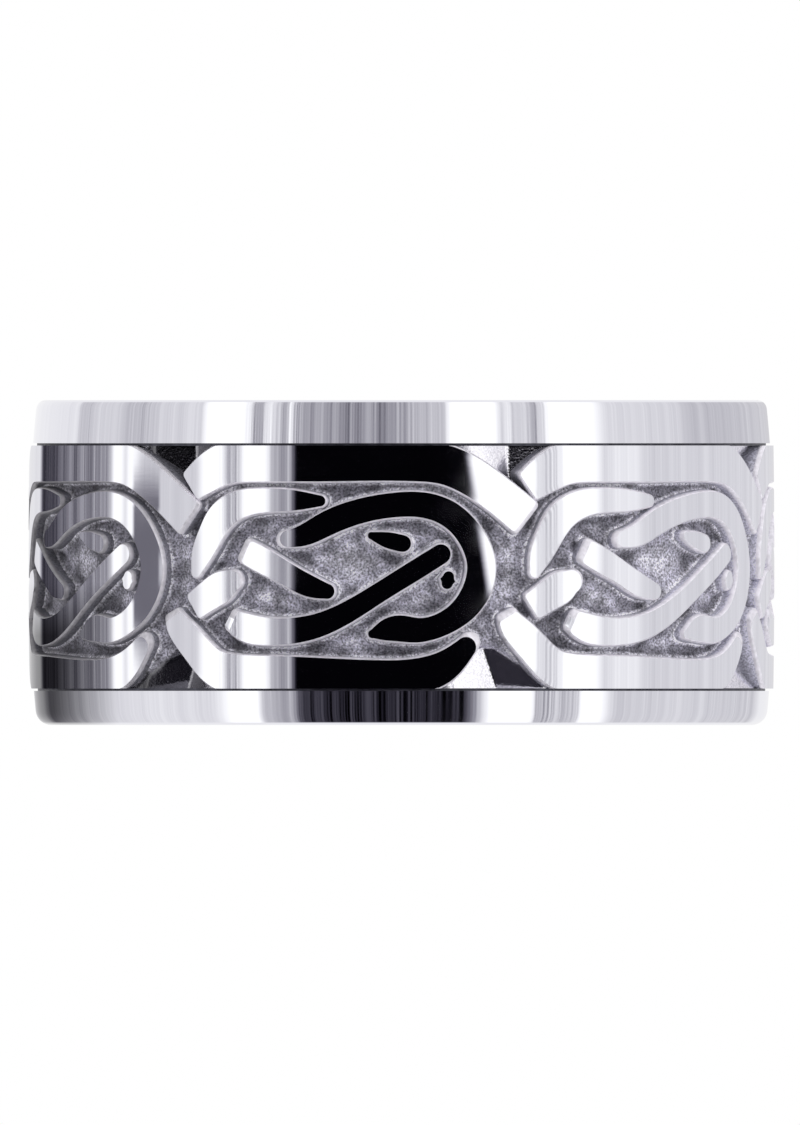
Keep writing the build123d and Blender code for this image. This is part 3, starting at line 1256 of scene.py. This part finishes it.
def tent_brightness(tree, fan, rise):
    """The brightness of the whole tent: three levels of stripes, plain at the top and bottom."""
    share = mapped(tree, fan, (-pi / 2, pi / 2), (0, 1))
    streaks = fine_streaks(tree, share)
    low, middle, high = (stripes(tree, table, share, streaks) for table in (tent_low, tent_middle, tent_high))
    for card in cards:
        middle = behind_card(tree, fan, rise, middle, card)
    lower = border(tree, rise, -tent_edge, edge_soft, low, middle)
    sides = border(tree, rise, tent_edge, edge_soft, lower, high)
    under = border(tree, rise, -tent_bottom, ends_soft, tent_ends, sides)
    return border(tree, rise, tent_top, ends_soft, under, tent_ends)


# %% [markdown]
# Three kinds of ray ask the tent for light. Mirrors see the stripes. A matt surface gathers light
# from half the tent at once, so for it the stripes are one soft slope, bright in the middle and dim
# at the sides, which costs far less noise. What the camera sees past the ring is plain white. Rays
# that leave the metal find the tent by themselves, so it isn't sampled as a lamp is.

# %% The tent round the ring


def light_tent():
    """The world, with the tent in it."""
    world = bpy.data.worlds.new("light_tent")
    world.use_nodes = True
    tree = world.node_tree
    fan, rise, rightwards = facing(tree)
    brightness = calculated(tree, "MAXIMUM", tent_brightness(tree, fan, rise), 0.0)
    tint = add_node(tree, "ShaderNodeCombineColor", inputs={
        channel: calculated(tree, "POWER", brightness, power) for channel, power in tint_powers.items()})
    slope = product(tree, [mapped(tree, rightwards, places, shares) for places, shares in soft_slopes])
    soft = scaled(tree, soft_colour, slope)
    ray = add_node(tree, "ShaderNodeLightPath").outputs
    shown = mixed(tree, ray["Is Diffuse Ray"], tint.outputs["Color"], soft, "RGBA")
    shown = mixed(tree, ray["Is Camera Ray"], shown, (1, 1, 1, 1), "RGBA")
    tree.links.new(shown, tree.nodes["Background"].inputs["Color"])
    world.cycles.sampling_method = "NONE"
    return world


bpy.context.scene.world = light_tent()
bpy.context.scene.view_settings.view_transform = "Standard"
print("the tent has", len(tent_low + tent_middle + tent_high), "rows and", len(cards), "cards")

# %% [markdown]
# The ring stands on white paper. The paper catches its shadow, but isn't mirrored in it, because
# there the stripes of the tent go on below the ring.

# %% The floor
floor_size = 2
bpy.ops.object.select_all(action="DESELECT")
bpy.ops.mesh.primitive_plane_add(size=floor_size)
floor = bpy.context.object
floor.name = "floor"
paper, tree, shader = new_material("white_paper")
shader.inputs["Base Color"].default_value = linear("#FAFAFA")
shader.inputs["Roughness"].default_value = 0.9
floor.data.materials.append(paper)
floor.visible_glossy = False

# %% [markdown]
# The photograph was taken level with the ring, through a long lens. The rails show no curve in it,
# so the camera here has no perspective at all.

# %% The camera
# In millimetres: how high the picture is, how far off the camera stands, and how far to the right
# of the picture's middle the ring is
picture_height = 34.62
camera_away = 150
ring_offset = 0.046
bpy.ops.object.camera_add(
    location=(-ring_offset * mm, -camera_away * mm, mid_height * mm), rotation=(pi / 2, 0, 0))
camera = bpy.context.object
camera.data.type = "ORTHO"
camera.data.ortho_scale = picture_height * mm
camera.data.clip_start = 1 * mm
camera.data.clip_end = 10
bpy.context.scene.camera = camera
print("the picture is", picture_height, "mm high")
